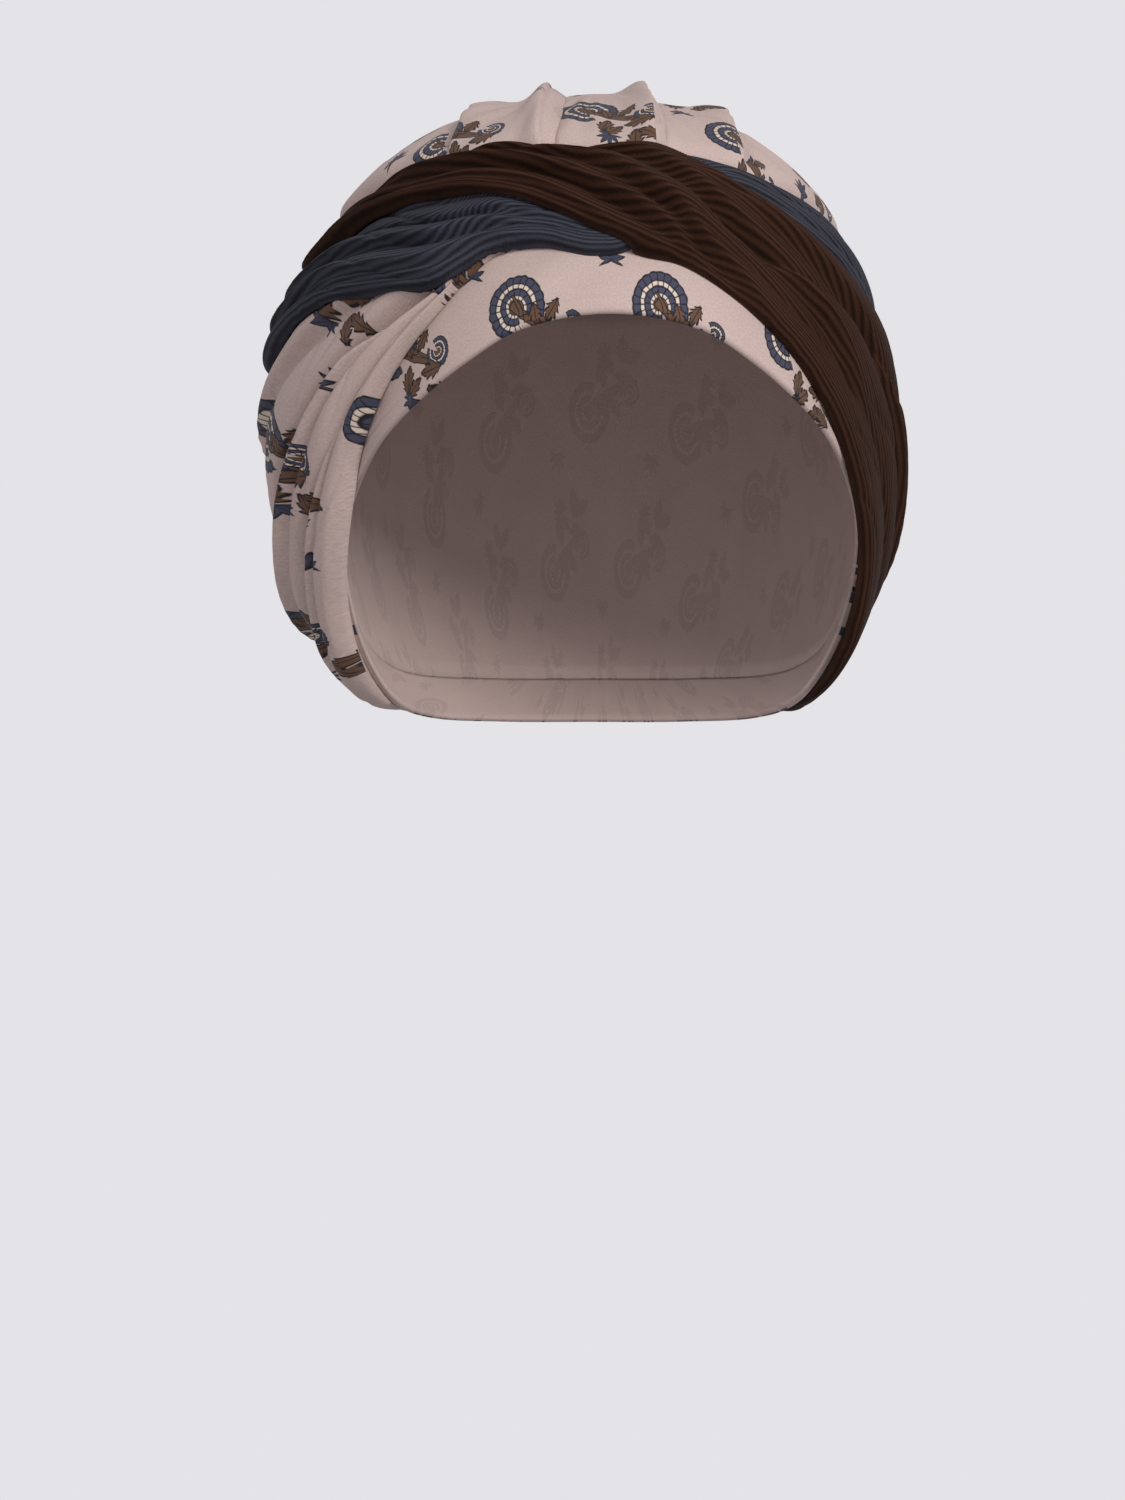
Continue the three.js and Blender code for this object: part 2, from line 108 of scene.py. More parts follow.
NAVY_STRAND = table("at top low slant lower middle upper first second", [
    (-180, 24, 2, 0, 5, 6, 5.5, 0.34, 0.67),
    (-150, 25, 4, 0, 5, 6.5, 6, 0.34, 0.67),
    (-120, 27, 8, 0, 4, 7, 7, 0.34, 0.66),
    (-95, 28.5, 11, 0, 2.4, 6.5, 7.5, 0.34, 0.62),
    (-80, 33, 15.5, 0, 2.4, 6.5, 7.5, 0.34, 0.62),
    (-66, 39, 20, 0, 3, 8, 7.5, 0.34, 0.6),
    (-50, 41, 22.5, 0, 4.2, 7, 8, 0.32, 0.58),
    (-36, 42, 24.5, 0, 4.5, 5.5, 7, 0.3, 0.52),
    (-25, 41.5, 30.5, 0, 3.5, 4, 5.5, 0.26, 0.5),
    (-14, 40, 31.8, 0, 3, 3.5, 4, 0.28, 0.55),
    (0, 41.5, 30.3, 2, 2.4, 3, 3, 0.33, 0.66),
    (11, 46, 31.8, 3, 2.4, 3, 3, 0.33, 0.66),
    (22, 51, 40, 2, 2.6, 3.2, 3.5, 0.33, 0.66),
    (38, 48.5, 41, 0, 3, 3.8, 4, 0.33, 0.66),
    (54, 44, 36, 0, 3.4, 4.2, 4.5, 0.33, 0.66),
    (70, 40, 29, 0, 4, 5, 5, 0.33, 0.66),
    (86, 35, 20, 0, 4.5, 5.5, 5.5, 0.33, 0.66),
    (102, 30, 12, 0, 4.5, 6, 6, 0.34, 0.67),
    (125, 27, 6, 0, 4.5, 6, 6, 0.34, 0.67),
    (152, 25, 3, 0, 5, 6, 5.5, 0.34, 0.67),
])
BROWN_STRAND = table("at top low slant lower middle upper first second", [
    (-180, 13, -11, -7, 4.5, 5.5, 4.5, 0.36, 0.68),
    (-156, 27, 7, -6, 4.5, 5.5, 4.5, 0.36, 0.68),
    (-130, 36, 23, -3, 3.2, 3.6, 3, 0.35, 0.68),
    (-108, 33.5, 26, 0, 2.2, 2.4, 2.2, 0.34, 0.67),
    (-90, 31.5, 26.5, 0, 2, 2.2, 2, 0.33, 0.67),
    (-78, 37, 31.5, 0, 2, 2.2, 2, 0.33, 0.67),
    (-62, 42, 36, 0, 2.2, 2.4, 2.2, 0.33, 0.67),
    (-46, 45, 38, 0, 2.6, 3, 2.8, 0.34, 0.68),
    (-30, 48, 38.5, 0, 3.2, 4, 3.6, 0.35, 0.7),
    (-15, 50, 37, 0, 3.6, 4.6, 4, 0.36, 0.72),
    (0, 50.5, 33, 0, 4.2, 5.4, 4.6, 0.36, 0.7),
    (13, 48, 30.2, 3, 4.6, 5.8, 4.8, 0.32, 0.58),
    (26, 41, 28.5, 6, 4.6, 5.8, 5, 0.28, 0.5),
    (38, 35.5, 23.4, 7, 4.6, 5.6, 5, 0.26, 0.5),
    (50, 29, 17.2, 9, 4.6, 5.6, 5, 0.26, 0.55),
    (61, 22, 10.2, 11, 4.8, 6, 5.4, 0.28, 0.64),
    (77, 13, -5, 11, 4.8, 6, 5, 0.3, 0.68),
    (88, 5, -16.5, 11, 4.8, 6, 5, 0.32, 0.68),
    (100, -3, -31, 12, 5, 6.4, 5.2, 0.34, 0.68),
    (115, -9, -42, 10, 4.4, 5.6, 4.8, 0.36, 0.68),
    (135, -7, -42, 4, 4.2, 5.4, 4.6, 0.36, 0.68),
    (156, 1, -30, -3, 4.4, 5.4, 4.5, 0.36, 0.68),
])

# The repeat of the print, the millimetres of cloth in a degree of rise, and the radius on
# which the brim's print is spread out.
REPEAT_U, REPEAT_V = 48.0, 46.0
MM_PER_DEGREE = 1.75
SPREAD_RADIUS = 92
RIB_PITCH = 1.08
KNIT_WALE, KNIT_COURSE = 0.6, 0.5

LEDGE_CLEAR, LEDGE_WIDTH = 2, 5
TOP_STAND_OFF, TOP_FROM, TOP_FULL = 0.3, 28, 88
CREASE = {"print_band": 0.5, "navy_band": 0.4, "brown_band": 0.35}

# Pleats over the top from front to back: where each crosses the middle of the head, its lean,
# width and height, and the side that drops steeply.
PLEATS = table("across lean width height steep", [
    (-52, 0.25, 13, 1, 1),
    (-30, 0.16, 11, 3, -1),
    (-13, 0.05, 8, 5, 1),
    (11, -0.06, 8, 5.5, 1),
    (31, -0.16, 10, 4, 1),
    (52, -0.25, 13, 0.6, 1),
])

# Folds that run aslant along a strand: from one station and fraction of the width to another,
# the height of the ridge, its width in millimetres and the side that drops steeply.
RIDGES = {
    "print_band": [
        (-150, 0.55, -34, 0.93, 3.6, 9, -1),
        (-112, 0.22, -38, 0.55, 3.1, 8, -1),
        (-96, 0.08, -60, 0.22, 1.9, 6, -1),
        (-80, 0.92, -34, 0.75, 1.8, 5, 1),
    ],
    "navy_band": [
        (-100, 0.30, -22, 0.12, 3.1, 7, -1),
        (-92, 0.52, -20, 0.34, 3.4, 8, -1),
        (-84, 0.72, -10, 0.5, 2.6, 7, -1),
        (-70, 0.16, -30, 0.06, 1.7, 4, -1),
        (-60, 0.86, 0, 0.75, 1.4, 6, -1),
    ],
    "brown_band": [
        (-60, 0.78, 22, 0.15, 5.3, 9, -1),
        (-36, 0.92, 40, 0.1, 4.6, 9, -1),
        (-8, 0.97, 66, 0.34, 3.6, 11, -1),
        (24, 0.9, 104, 0.5, 3.1, 11, -1),
        (-70, 0.5, 4, 0.05, 1.9, 6, -1),
    ],
}


def radians(x):
    return np.asarray(x, float) * math.pi / 180


def smooth(x, low, high):
    t = np.clip((x - low) / (high - low), 0, 1)
    return t * t * (3 - 2 * t)


def place(azimuth, rise, stand_off):
    """Points on or above the head, as an array with x, y and z last."""
    a, r = np.broadcast_arrays(radians(azimuth), radians(rise))
    backness = (1 - np.cos(a)) / 2
    jaw = (1 - np.abs(np.sin(r)) ** JAW_POWER) ** (1 / JAW_POWER)
    girth = np.where(r >= 0, np.cos(r), jaw + (np.cos(r) - jaw) * backness)
    height = np.where(r >= 0, CROWN_HEIGHT, NAPE_DEPTH) * np.sin(r) - CROWN_HEIGHT
    skin = np.stack([HALF_WIDTH * girth * np.sin(a), -HALF_DEPTH * girth * np.cos(a), height], -1)
    out = np.stack([
        np.sin(a) * np.cos(r) / HALF_WIDTH,
        -np.cos(a) * np.cos(r) / HALF_DEPTH,
        np.sin(r) / CROWN_HEIGHT,
    ], -1)
    out /= np.linalg.norm(out, axis=-1, keepdims=True)
    return skin + out * np.broadcast_to(stand_off, a.shape)[..., None]


def column(rows, name, station):
    """A column of a table at any stations, by a smooth curve that closes round the head."""
    at, value = rows["at"], rows[name]
    count = len(at)
    x = at[0] + np.mod(np.asarray(station, float) - at[0], 360)
    i = np.clip(np.searchsorted(at, x, side="right") - 1, 0, count - 1)
    where = lambda k: at[k % count] + 360 * (k // count)
    slope = lambda k: (value[(k + 1) % count] - value[(k - 1) % count]) / (where(k + 1) - where(k - 1))
    width = where(i + 1) - where(i)
    u = (x - where(i)) / width
    return ((1 + 2 * u) * (1 - u) ** 2 * value[i] + u * (1 - u) ** 2 * width * slope(i)
            + u * u * (3 - 2 * u) * value[(i + 1) % count] + u * u * (u - 1) * width * slope(i + 1))


def mirrored(rows):
    """A table given for one side, spread over both."""
    both = {"at": np.concatenate([-rows["at"][:0:-1], rows["at"][:-1]])}
    for name in ("hem", "seam"):
        both[name] = np.concatenate([rows[name][:0:-1], rows[name][:-1]])
    return both


BRIM_ROUND = mirrored(BRIM)
STRANDS = {"print_band": PRINT_STRAND, "navy_band": NAVY_STRAND, "brown_band": BROWN_STRAND}


def brim_at(name, azimuth):
    return column(BRIM_ROUND, name, azimuth - BRIM_TURN)


def strand_top(azimuth):
    tops = [column(rows, "top", azimuth - column(rows, "slant", azimuth)) for rows in STRANDS.values()]
    return np.max(tops, axis=0)


class Laid:
    """What is already on the head: the highest stand-off, on a grid of azimuth and rise."""

    def __init__(self, height):
        self.height = height

    def cover(self, azimuth, rise, stand_off):
        i = np.mod(np.round(azimuth).astype(int), 360)
        j = np.clip(np.round(rise + 90).astype(int), 0, 179)
        np.maximum.at(self.height, (i, j), stand_off)

    def filtered(self, reach, combine):
        grid = self.height
        for axis in (0, 1):
            grid = combine([np.roll(grid, k, axis) for k in range(-reach, reach + 1)])
        return Laid(grid)

    def smoothed(self, reach):
        spread = self.filtered(reach, lambda near: np.max(near, axis=0))
        return spread.filtered(reach, lambda near: np.mean(near, axis=0))

    def at(self, azimuth, rise):
        x, y = np.mod(azimuth, 360), np.clip(rise + 90, 0, 178.99)
        i, j = np.floor(x).astype(int), np.floor(y).astype(int)
        u, v = x - i, y - j
        cell = lambda a, b: self.height[np.mod(a, 360), b]
        return ((cell(i, j) * (1 - u) + cell(i + 1, j) * u) * (1 - v)
                + (cell(i, j + 1) * (1 - u) + cell(i + 1, j + 1) * u) * v)


def wave(azimuth, counts, phase):
    """A slow wave round the head that closes on itself."""
    a = radians(azimuth)
    return sum(np.sin(n * a + phase * (k + 1.7)) for k, n in enumerate(counts)) / len(counts)


def wrinkles(azimuth, across_mm, pitches, height, phase):
    """Long creases along the strand: narrow valleys that wander, come and go."""
    total = np.zeros(np.broadcast(azimuth, across_mm).shape)
    for k, pitch in enumerate(pitches):
        seed = phase + 2.3 * k
        drift = 2.6 * wave(azimuth, (3, 5, 8), seed)
        strength = np.clip(0.35 + 0.9 * wave(azimuth, (4, 7), seed + 1), 0, 1)
        valley = (1 - np.abs(np.sin(math.pi * across_mm / pitch + drift))) ** 4
        total -= height * pitch / pitches[0] * strength * valley
    return total


def ridge(distance, width, steep):
    """A fold's cross-section: a gentle slope on one side and a steep drop on the other."""
    side = distance * steep
    crest = np.where(side > 0, np.exp(-(side / (0.15 * width)) ** 2), np.exp(-(side / width) ** 2))
    return crest - 0.55 * np.exp(-((side - 0.3 * width) / (0.17 * width)) ** 2)


def mesh_object(name, points, quads, cloth, chart, outer):
    """An object from points in millimetres, quads, and the cloth and chart place of each corner."""
    mesh = bpy.data.meshes.new(name)
    mesh.vertices.add(len(points))
    mesh.vertices.foreach_set("co", (points * MM).astype(np.float32).ravel())
    mesh.loops.add(4 * len(quads))
    mesh.loops.foreach_set("vertex_index", quads.ravel().astype(np.int32))
    mesh.polygons.add(len(quads))
    mesh.polygons.foreach_set("loop_start", np.arange(0, 4 * len(quads), 4, dtype=np.int32))
    mesh.update(calc_edges=True)
    for label, places in (("OFBake", chart), ("Cloth", cloth)):
        layer = mesh.uv_layers.new(name=label)
        layer.data.foreach_set("uv", places.astype(np.float32).ravel())
    side = mesh.attributes.new("outer", "FLOAT", "POINT")
    side.data.foreach_set("value", outer.astype(np.float32).ravel())
    mesh.polygons.foreach_set("use_smooth", np.ones(len(quads), bool))
    mesh.validate()
    piece = bpy.data.objects.new(name, mesh)
    bpy.context.scene.collection.objects.link(piece)
    return piece


def spread_out(azimuth, rise, centre):
    """Cloth places in millimetres, true to size and angle near a point on the forehead."""
    a, e, c = radians(azimuth), radians(rise), math.radians(centre)
    side = np.sin(a) * np.cos(e)
    front = np.cos(a) * np.cos(e) * math.cos(c) + np.sin(e) * math.sin(c)
    up = np.sin(e) * math.cos(c) - np.cos(a) * np.cos(e) * math.sin(c)
    far = SPREAD_RADIUS * np.arccos(np.clip(front, -1, 1)) / np.maximum(np.hypot(side, up), 1e-6)
    return np.stack([side * far, up * far], -1)


def looped(name, points, cloth, rows, outer_count):
    """A closed surface from points[station, around]: both directions close. The chart is cut into
    a number of rows, stacked."""
    n, m = points.shape[:2]
    i, j = np.meshgrid(np.arange(n), np.arange(m), indexing="ij")
    i, j = i.ravel(), j.ravel()
    i2, j2 = (i + 1) % n, (j + 1) % m
    quads = np.stack([i * m + j, i * m + j2, i2 * m + j2, i2 * m + j], 1)
    ahead = np.array([[0, 0], [0, 1], [1, 1], [1, 0]])
    along = i[:, None] + ahead[:, 0]
    across = j[:, None] + ahead[:, 1]
    if isinstance(cloth, dict):
        length = np.append(cloth["along"], cloth["length"])
        wide = np.concatenate([cloth["across"], cloth["across"][:, :1]], 1)
        places = np.stack([length[along], wide[along % n, across]], -1)
    else:
        places = cloth[along % n, across % m]
    per = n // rows
    row = i // per
    u = (along - row[:, None] * per) / per * 0.98 + 0.01
    v = (row[:, None] + 0.02 + 0.96 * across / m) / rows
    outer = np.broadcast_to(np.arange(m) < outer_count, (n, m))
    return mesh_object(name, points.reshape(-1, 3), quads, places, np.stack([u, v], -1), outer)


def fold_thickness(heights, bounds, fraction, crease, edge):
    """The thickness across a strand of three folds, dipping at the creases between them."""
    total = np.zeros(fraction.shape)
    dips = [edge * np.ones_like(heights[0])]
    dips += [np.minimum(heights[k], heights[k + 1]) * (1 - crease) for k in (0, 1)]
    dips += [edge * np.ones_like(heights[0])]
    for k in range(3):
        within = (fraction - bounds[k]) / (bounds[k + 1] - bounds[k])
        inside = (within >= 0) & ((within < 1) if k < 2 else (within <= 1))
        arch = np.sqrt(np.clip(1 - (2 * within - 1) ** 2, 0, 1)) ** 0.8
        level = dips[k] + (dips[k + 1] - dips[k]) * within
        total += np.where(inside, level + (heights[k] - (dips[k] + dips[k + 1]) / 2) * arch, 0)
    return total


# How deep the gap is between the upper two folds of each strand.
GAPS = {"print_band": 9, "navy_band": 2.2, "brown_band": 1.2}
REPEATS_ROUND_HEAD = 11
PRINT_PER_DEGREE = REPEATS_ROUND_HEAD * REPEAT_U / 360
# Points round a strand or the brim, and across a strand outside and inside.
ROUND, ACROSS, UNDER = 720, 92, 30
BRIM_ACROSS, BRIM_UNDER = 40, 18
CROWN_ROUND, CROWN_OUTER_STEPS, CROWN_INNER_STEPS, CROWN_TIP_RISE = 540, 104, 56, 89.4
EDGE_ROLL, EDGE_THICKNESS, THINNEST_FOLD = 3.2, 2.2, 1.0
# The stand-off at which a strand and the crown are measured out flat.
STRAND_MEASURED_AT, CROWN_MEASURED_AT = 8, 4
WRINKLES = {"print_band": ((22, 12), 1.2), "navy_band": ((9, 5), 1.3), "brown_band": ((12, 6.5), 1.0)}


def make_strand(name, laid, phase):
    rows = STRANDS[name]
    below = laid.smoothed(4)
    station = -180 + np.arange(ROUND) * 360 / ROUND
    value = {key: column(rows, key, station)[:, None] for key in rows if key != "at"}
    fraction = (1 - np.cos(np.linspace(0, math.pi, ACROSS))) / 2 * 0.5 + np.linspace(0, 1, ACROSS) * 0.5
    fraction = fraction[None, :]
    azimuth = station[:, None] + value["slant"] * (2 * fraction - 1)
    rise = value["low"] + (value["top"] - value["low"]) * fraction
    flat = place(azimuth, rise, STRAND_MEASURED_AT)
    lengths = np.linalg.norm(np.diff(flat, axis=1), axis=2)
    across = np.concatenate([np.zeros((ROUND, 1)), np.cumsum(lengths, axis=1)], 1)
    width = across[:, -1:]
    heights = [value[k] * np.ones_like(fraction) for k in ("lower", "middle", "upper")]
    bounds = [0, value["first"], value["second"], 1]
    everywhere = fraction * np.ones_like(value["low"])
    thick = fold_thickness(heights, bounds, everywhere, CREASE[name], EDGE_THICKNESS)
    for s0, f0, s1, f1, high, wide, steep in RIDGES[name]:
        t = (station[:, None] - s0) / (s1 - s0)
        fade = smooth(t, -0.15, 0.2) * (1 - smooth(t, 0.8, 1.15))
        distance = (fraction - (f0 + (f1 - f0) * t)) * width
        thick = thick + high * fade * ridge(distance, wide, steep)
    gap = (fraction - value["second"]) * width
    deep = GAPS[name] * smooth(width, 12, 30)
    thick = thick - deep * np.exp(-np.where(gap > 0, gap / 3.6, gap / 0.9) ** 2)
    pitches, depth = WRINKLES[name]
    thick = thick + wrinkles(station[:, None], across, pitches, depth, phase) * smooth(width, 8, 40)
    from_edge = np.minimum(fraction, 1 - fraction) * width
    roll = np.clip(from_edge / np.minimum(EDGE_ROLL, width / 3), 0, 1)
    roll = np.sqrt(1 - (1 - roll) ** 2)
    low_rest, high_rest = laid.at(azimuth, rise), below.at(azimuth, rise)
    rest = low_rest + (high_rest - low_rest) * smooth(roll, 0, 1)
    stand_off = rest + 0.4 + np.maximum(thick, THINNEST_FOLD) * roll
    outside = place(azimuth, rise, stand_off)
    pick = np.linspace(0, ACROSS - 1, UNDER).round().astype(int)[::-1][1:-1]
    under = np.minimum(low_rest + 0.2, stand_off - 0.6)
    underside = place(azimuth[:, pick], rise[:, pick], under[:, pick])
    points = np.concatenate([outside, underside], 1)
    middle = outside[:, ACROSS // 2]
    steps = np.linalg.norm(middle - np.roll(middle, -1, 0), axis=1)
    along = np.concatenate([[0], np.cumsum(steps)])
    if name == "print_band":
        level = rise * MM_PER_DEGREE
        cloth = {"along": station * PRINT_PER_DEGREE, "length": 180 * PRINT_PER_DEGREE}
    else:
        level = np.mean([np.roll(across, k, 0) for k in range(-6, 7)], axis=0)
        cloth = {"along": along[:-1], "length": along[-1]}
    cloth["across"] = np.concatenate([level, level[:, pick]], 1)
    laid.cover(azimuth, rise, stand_off)
    return looped(name + "_cloth", points, cloth, 3, ACROSS)


def crown_stand_off(azimuth, rise, detail):
    ledge = strand_top(azimuth) + LEDGE_CLEAR
    over = np.clip((rise - ledge) / LEDGE_WIDTH, 0, 1)
    swell = column(CROWN, "swell", azimuth) * np.sqrt(over * (2 - over))
    share = smooth(rise, TOP_FROM, TOP_FULL)
    base = swell + (TOP_STAND_OFF - swell) * share
    skin = place(azimuth, rise, 0)
    fade = smooth(rise, 42, 64)
    pleats = 0
    for across, lean, width, height, steep in zip(*(PLEATS[k] for k in PLEATS)):
        away = skin[..., 0] - across - lean * skin[..., 1]
        soft = np.exp(-4 * (away / width) ** 2)
        pleats = pleats + height * (ridge(away, width * 0.6, steep) if detail else soft)
        if detail:
            tuck = (away * steep - 0.34 * width) / (0.14 * width)
            pleats = pleats - 0.5 * height * np.exp(-tuck ** 2)
    total = CROWN_WALL + base + fade * pleats
    if detail:
        radial = wave(azimuth, (13, 17, 29, 37), 2.0)
        total = total + 0.7 * radial * smooth(rise, 30, 52) * (1 - smooth(rise, 66, 86)) * over
        total = total + 0.5 * np.sin(skin[..., 0] / 6.5 + skin[..., 1] / 30 + 2) * smooth(rise, 60, 75)
    return total


def make_crown():
    azimuth = (-180 + np.arange(CROWN_ROUND) * 360 / CROWN_ROUND)[:, None]
    ledge = strand_top(azimuth) + LEDGE_CLEAR
    lowest = brim_at("seam", azimuth) + math.degrees(0.6 / HALF_DEPTH)

    def rises(count, share):
        upper = int(count * share)
        t = np.linspace(0, 1, upper)[None, :]
        s = np.linspace(0, 1, count - upper + 1)[None, 1:]
        above = CROWN_TIP_RISE + (ledge - CROWN_TIP_RISE) * t
        return np.concatenate([above, ledge + (lowest - ledge) * s], 1)

    inner = rises(CROWN_INNER_STEPS, 0.6)
    outer = rises(CROWN_OUTER_STEPS, 0.85)[:, ::-1]
    smooth_inside = np.maximum(crown_stand_off(azimuth, inner, False) - CROWN_WALL, 0)
    points = np.concatenate([
        place(azimuth, inner, smooth_inside),
        place(azimuth, outer, crown_stand_off(azimuth, outer, True)),
    ], 1)
    n, m = points.shape[:2]
    rises_all = np.concatenate([inner, outer], 1)
    i, j = (x.ravel() for x in np.meshgrid(np.arange(n), np.arange(m - 1), indexing="ij"))
    i2 = (i + 1) % n
    quads = np.stack([i * m + j, i2 * m + j, i2 * m + j + 1, i * m + j + 1], 1)
    from_top = (90 - rises_all) * MM_PER_DEGREE
    a = radians(azimuth)
    disc = place(azimuth, rises_all, CROWN_MEASURED_AT)[..., :2]
    radius = np.linalg.norm(disc, axis=-1)
    cloth = disc * (from_top / np.maximum(radius, 1e-6))[..., None]
    cloth = cloth.reshape(-1, 2)
    chart = np.zeros((n, m, 2))
    reach = (90 - rises_all) / 150
    centre = np.where(np.arange(m) < CROWN_INNER_STEPS, 0.25, 0.75)
    chart[..., 0] = centre + 0.24 * reach * np.sin(a)
    chart[..., 1] = 0.5 + 0.48 * reach * np.cos(a)
    chart = chart.reshape(-1, 2)
    bridge = j == CROWN_INNER_STEPS - 1
    corner_chart = chart[quads]
    corner_chart[bridge] = 0.5 + 0.001 * np.array([[0, 0], [1, 0], [1, 1], [0, 1]])
    outer_side = np.broadcast_to(np.arange(m) >= CROWN_INNER_STEPS, (n, m))
    points = points.reshape(-1, 3)
    piece = mesh_object("crown_cloth", points, quads, cloth[quads], corner_chart, outer_side)
    rims = [np.arange(n) * m + rim for rim in (0, m - 1)]
    close_tops(piece, rims, chart, cloth)
    return piece


def close_tops(piece, rims, chart, cloth):
    """Fills the two small round holes at the tip, inside and outside."""
    bm = bmesh.new()
    bm.from_mesh(piece.data)
    bm.verts.ensure_lookup_table()
    layers = [(bm.loops.layers.uv["OFBake"], chart), (bm.loops.layers.uv["Cloth"], cloth)]
    for k, rim in enumerate(rims):
        ring = rim.tolist() if k == 1 else rim.tolist()[::-1]
        face = bm.faces.new([bm.verts[v] for v in ring])
        face.smooth = True
        for loop, v in zip(face.loops, ring):
            for layer, places in layers:
                loop[layer].uv = places[v]
    bmesh.ops.recalc_face_normals(bm, faces=bm.faces)
    bm.to_mesh(piece.data)
    bm.free()


def make_brim():
    azimuth = (-180 + np.arange(ROUND) * 360 / ROUND)[:, None]
    hem, seam = brim_at("hem", azimuth), brim_at("seam", azimuth)
    t = np.linspace(0, 1, BRIM_ACROSS)[None, :]
    rise = hem + (seam - hem) * t
    edge = t * (seam - hem) * MM_PER_DEGREE
    round_hem = np.sqrt(1 - (1 - np.clip(edge / 1.3, 0, 1)) ** 2)
    soft = 0.8 * wave(azimuth, (5, 9, 14), 0.7) * np.sin(t * 9 + 2 * wave(azimuth, (2, 3), 1.1))
    hem_groove = -0.35 * np.exp(-((edge - 5.5) / 0.7) ** 2)
    relief = (soft + hem_groove) * smooth(edge, 1, 4)
    outside = place(azimuth, rise, BRIM_WALL * (0.45 + 0.55 * round_hem) + relief)
    pick = np.linspace(0, BRIM_ACROSS - 1, BRIM_UNDER).round().astype(int)[::-1]
    underside = place(azimuth, rise[:, pick], (BRIM_WALL * 0.45 * (1 - round_hem))[:, pick])
    points = np.concatenate([outside, underside], 1)
    cloth = spread_out(azimuth, np.concatenate([rise, rise[:, pick]], 1), 20)
    return looped("brim_cloth", points, cloth, 6, BRIM_ACROSS)


# Shader arithmetic.

class Value:
    """A number in a node tree, with arithmetic that adds Math nodes."""
    tree = None

    def __init__(self, socket):
        self.socket = socket

    def __add__(self, other):
        return math_node("ADD", self, other)

    def __radd__(self, other):
        return math_node("ADD", other, self)

    def __sub__(self, other):
        return math_node("SUBTRACT", self, other)

    def __rsub__(self, other):
        return math_node("SUBTRACT", other, self)

    def __mul__(self, other):
        return math_node("MULTIPLY", self, other)

    def __rmul__(self, other):
        return math_node("MULTIPLY", other, self)

    def __truediv__(self, other):
        return math_node("DIVIDE", self, other)

    def __neg__(self):
        return math_node("MULTIPLY", self, -1)


def math_node(operation, *inputs, clamp=False):
    node = Value.tree.nodes.new("ShaderNodeMath")
    node.operation = operation
    node.use_clamp = clamp
    for socket, value in zip(node.inputs, inputs):
        if isinstance(value, Value):
            Value.tree.links.new(value.socket, socket)
        else:
            socket.default_value = value
    return Value(node.outputs[0])


def fn(operation):
    return lambda *inputs: math_node(operation, *inputs)


v_abs, v_sin, v_sqrt, v_max = fn("ABSOLUTE"), fn("SINE"), fn("SQRT"), fn("MAXIMUM")
v_atan2, v_floor, v_mod, v_fract = fn("ARCTAN2"), fn("FLOOR"), fn("FLOORED_MODULO"), fn("FRACT")


def inside(distance, softness=0.12):
    """1 where a signed distance in millimetres is negative, with a soft edge."""
    return math_node("ADD", distance * (-0.5 / softness), 0.5, clamp=True)


def band(value, low, high, softness=0.12):
    return inside(v_max(low - value, value - high), softness)


def mixed(share, first, second):
    node = Value.tree.nodes.new("ShaderNodeMix")
    node.data_type = "RGBA"
    for socket, value in ((node.inputs["Factor"], share), (node.inputs[6], first), (node.inputs[7], second)):
        if isinstance(value, Value):
            Value.tree.links.new(value.socket, socket)
        elif isinstance(value, tuple):
            socket.default_value = (*value, 1)
        else:
            socket.default_value = value
    return Value(node.outputs[2])


def noise(vector, scale, detail=2, rough=0.5):
    node = Value.tree.nodes.new("ShaderNodeTexNoise")
    node.inputs["Scale"].default_value = scale
    node.inputs["Detail"].default_value = detail
    node.inputs["Roughness"].default_value = rough
    Value.tree.links.new(vector, node.inputs["Vector"])
    return Value(node.outputs[0])


def material(name):
    made = bpy.data.materials.new(name)
    made.use_nodes = True
    Value.tree = made.node_tree
    shader = made.node_tree.nodes["Principled BSDF"]
    uv = made.node_tree.nodes.new("ShaderNodeUVMap")
    uv.uv_map = "Cloth"
    parts = made.node_tree.nodes.new("ShaderNodeSeparateXYZ")
    made.node_tree.links.new(uv.outputs[0], parts.inputs[0])
    return made, shader, uv.outputs[0], Value(parts.outputs[0]), Value(parts.outputs[1])


def bump(shader, height, distance, strength):
    node = Value.tree.nodes.new("ShaderNodeBump")
    node.inputs["Strength"].default_value = strength
    node.inputs["Distance"].default_value = distance
    Value.tree.links.new(height.socket, node.inputs["Height"])
    Value.tree.links.new(node.outputs[0], shader.inputs["Normal"])


def crinkle(name, dark, light, sheen):
    """Crinkled jersey: fine wavy ribs along the cloth, as bumps and as painted light and shade in the
    colour.
    """
    made, shader, uv, u, v = material(name)
    wander = noise(uv, 0.07, 3)
    ribs = v * (2 * math.pi / RIB_PITCH) + wander * 4
    rib_relief_and_painted_shade = v_sin(ribs) * 0.5 + 0.5
    fine = noise(uv, 2.2, 3, 0.7)
    # The colour holds painted shade and painted highlight along the ribs, in step with their bumps, plus
    # random fine tone.
    colour = mixed(rib_relief_and_painted_shade * 0.75 + fine * 0.8 - 0.25, dark, light)
    patch = noise(uv, 0.05, 2)
    colour = mixed(patch * 0.35, colour, light)
    Value.tree.links.new(colour.socket, shader.inputs["Base Color"])
    shader.inputs["Roughness"].default_value = 0.82
    shader.inputs["Specular IOR Level"].default_value = 0.07
    shader.inputs["Sheen Weight"].default_value = sheen
    shader.inputs["Sheen Roughness"].default_value = 0.4
    bump(shader, rib_relief_and_painted_shade * 0.7 + fine, 0.00018, 0.8)
    return made


GROUND, CREAM = (0.47, 0.355, 0.322), (0.60, 0.49, 0.41)
BLUE, BROWN, INK = (0.046, 0.048, 0.082), (0.11, 0.054, 0.030), (0.010, 0.008, 0.010)


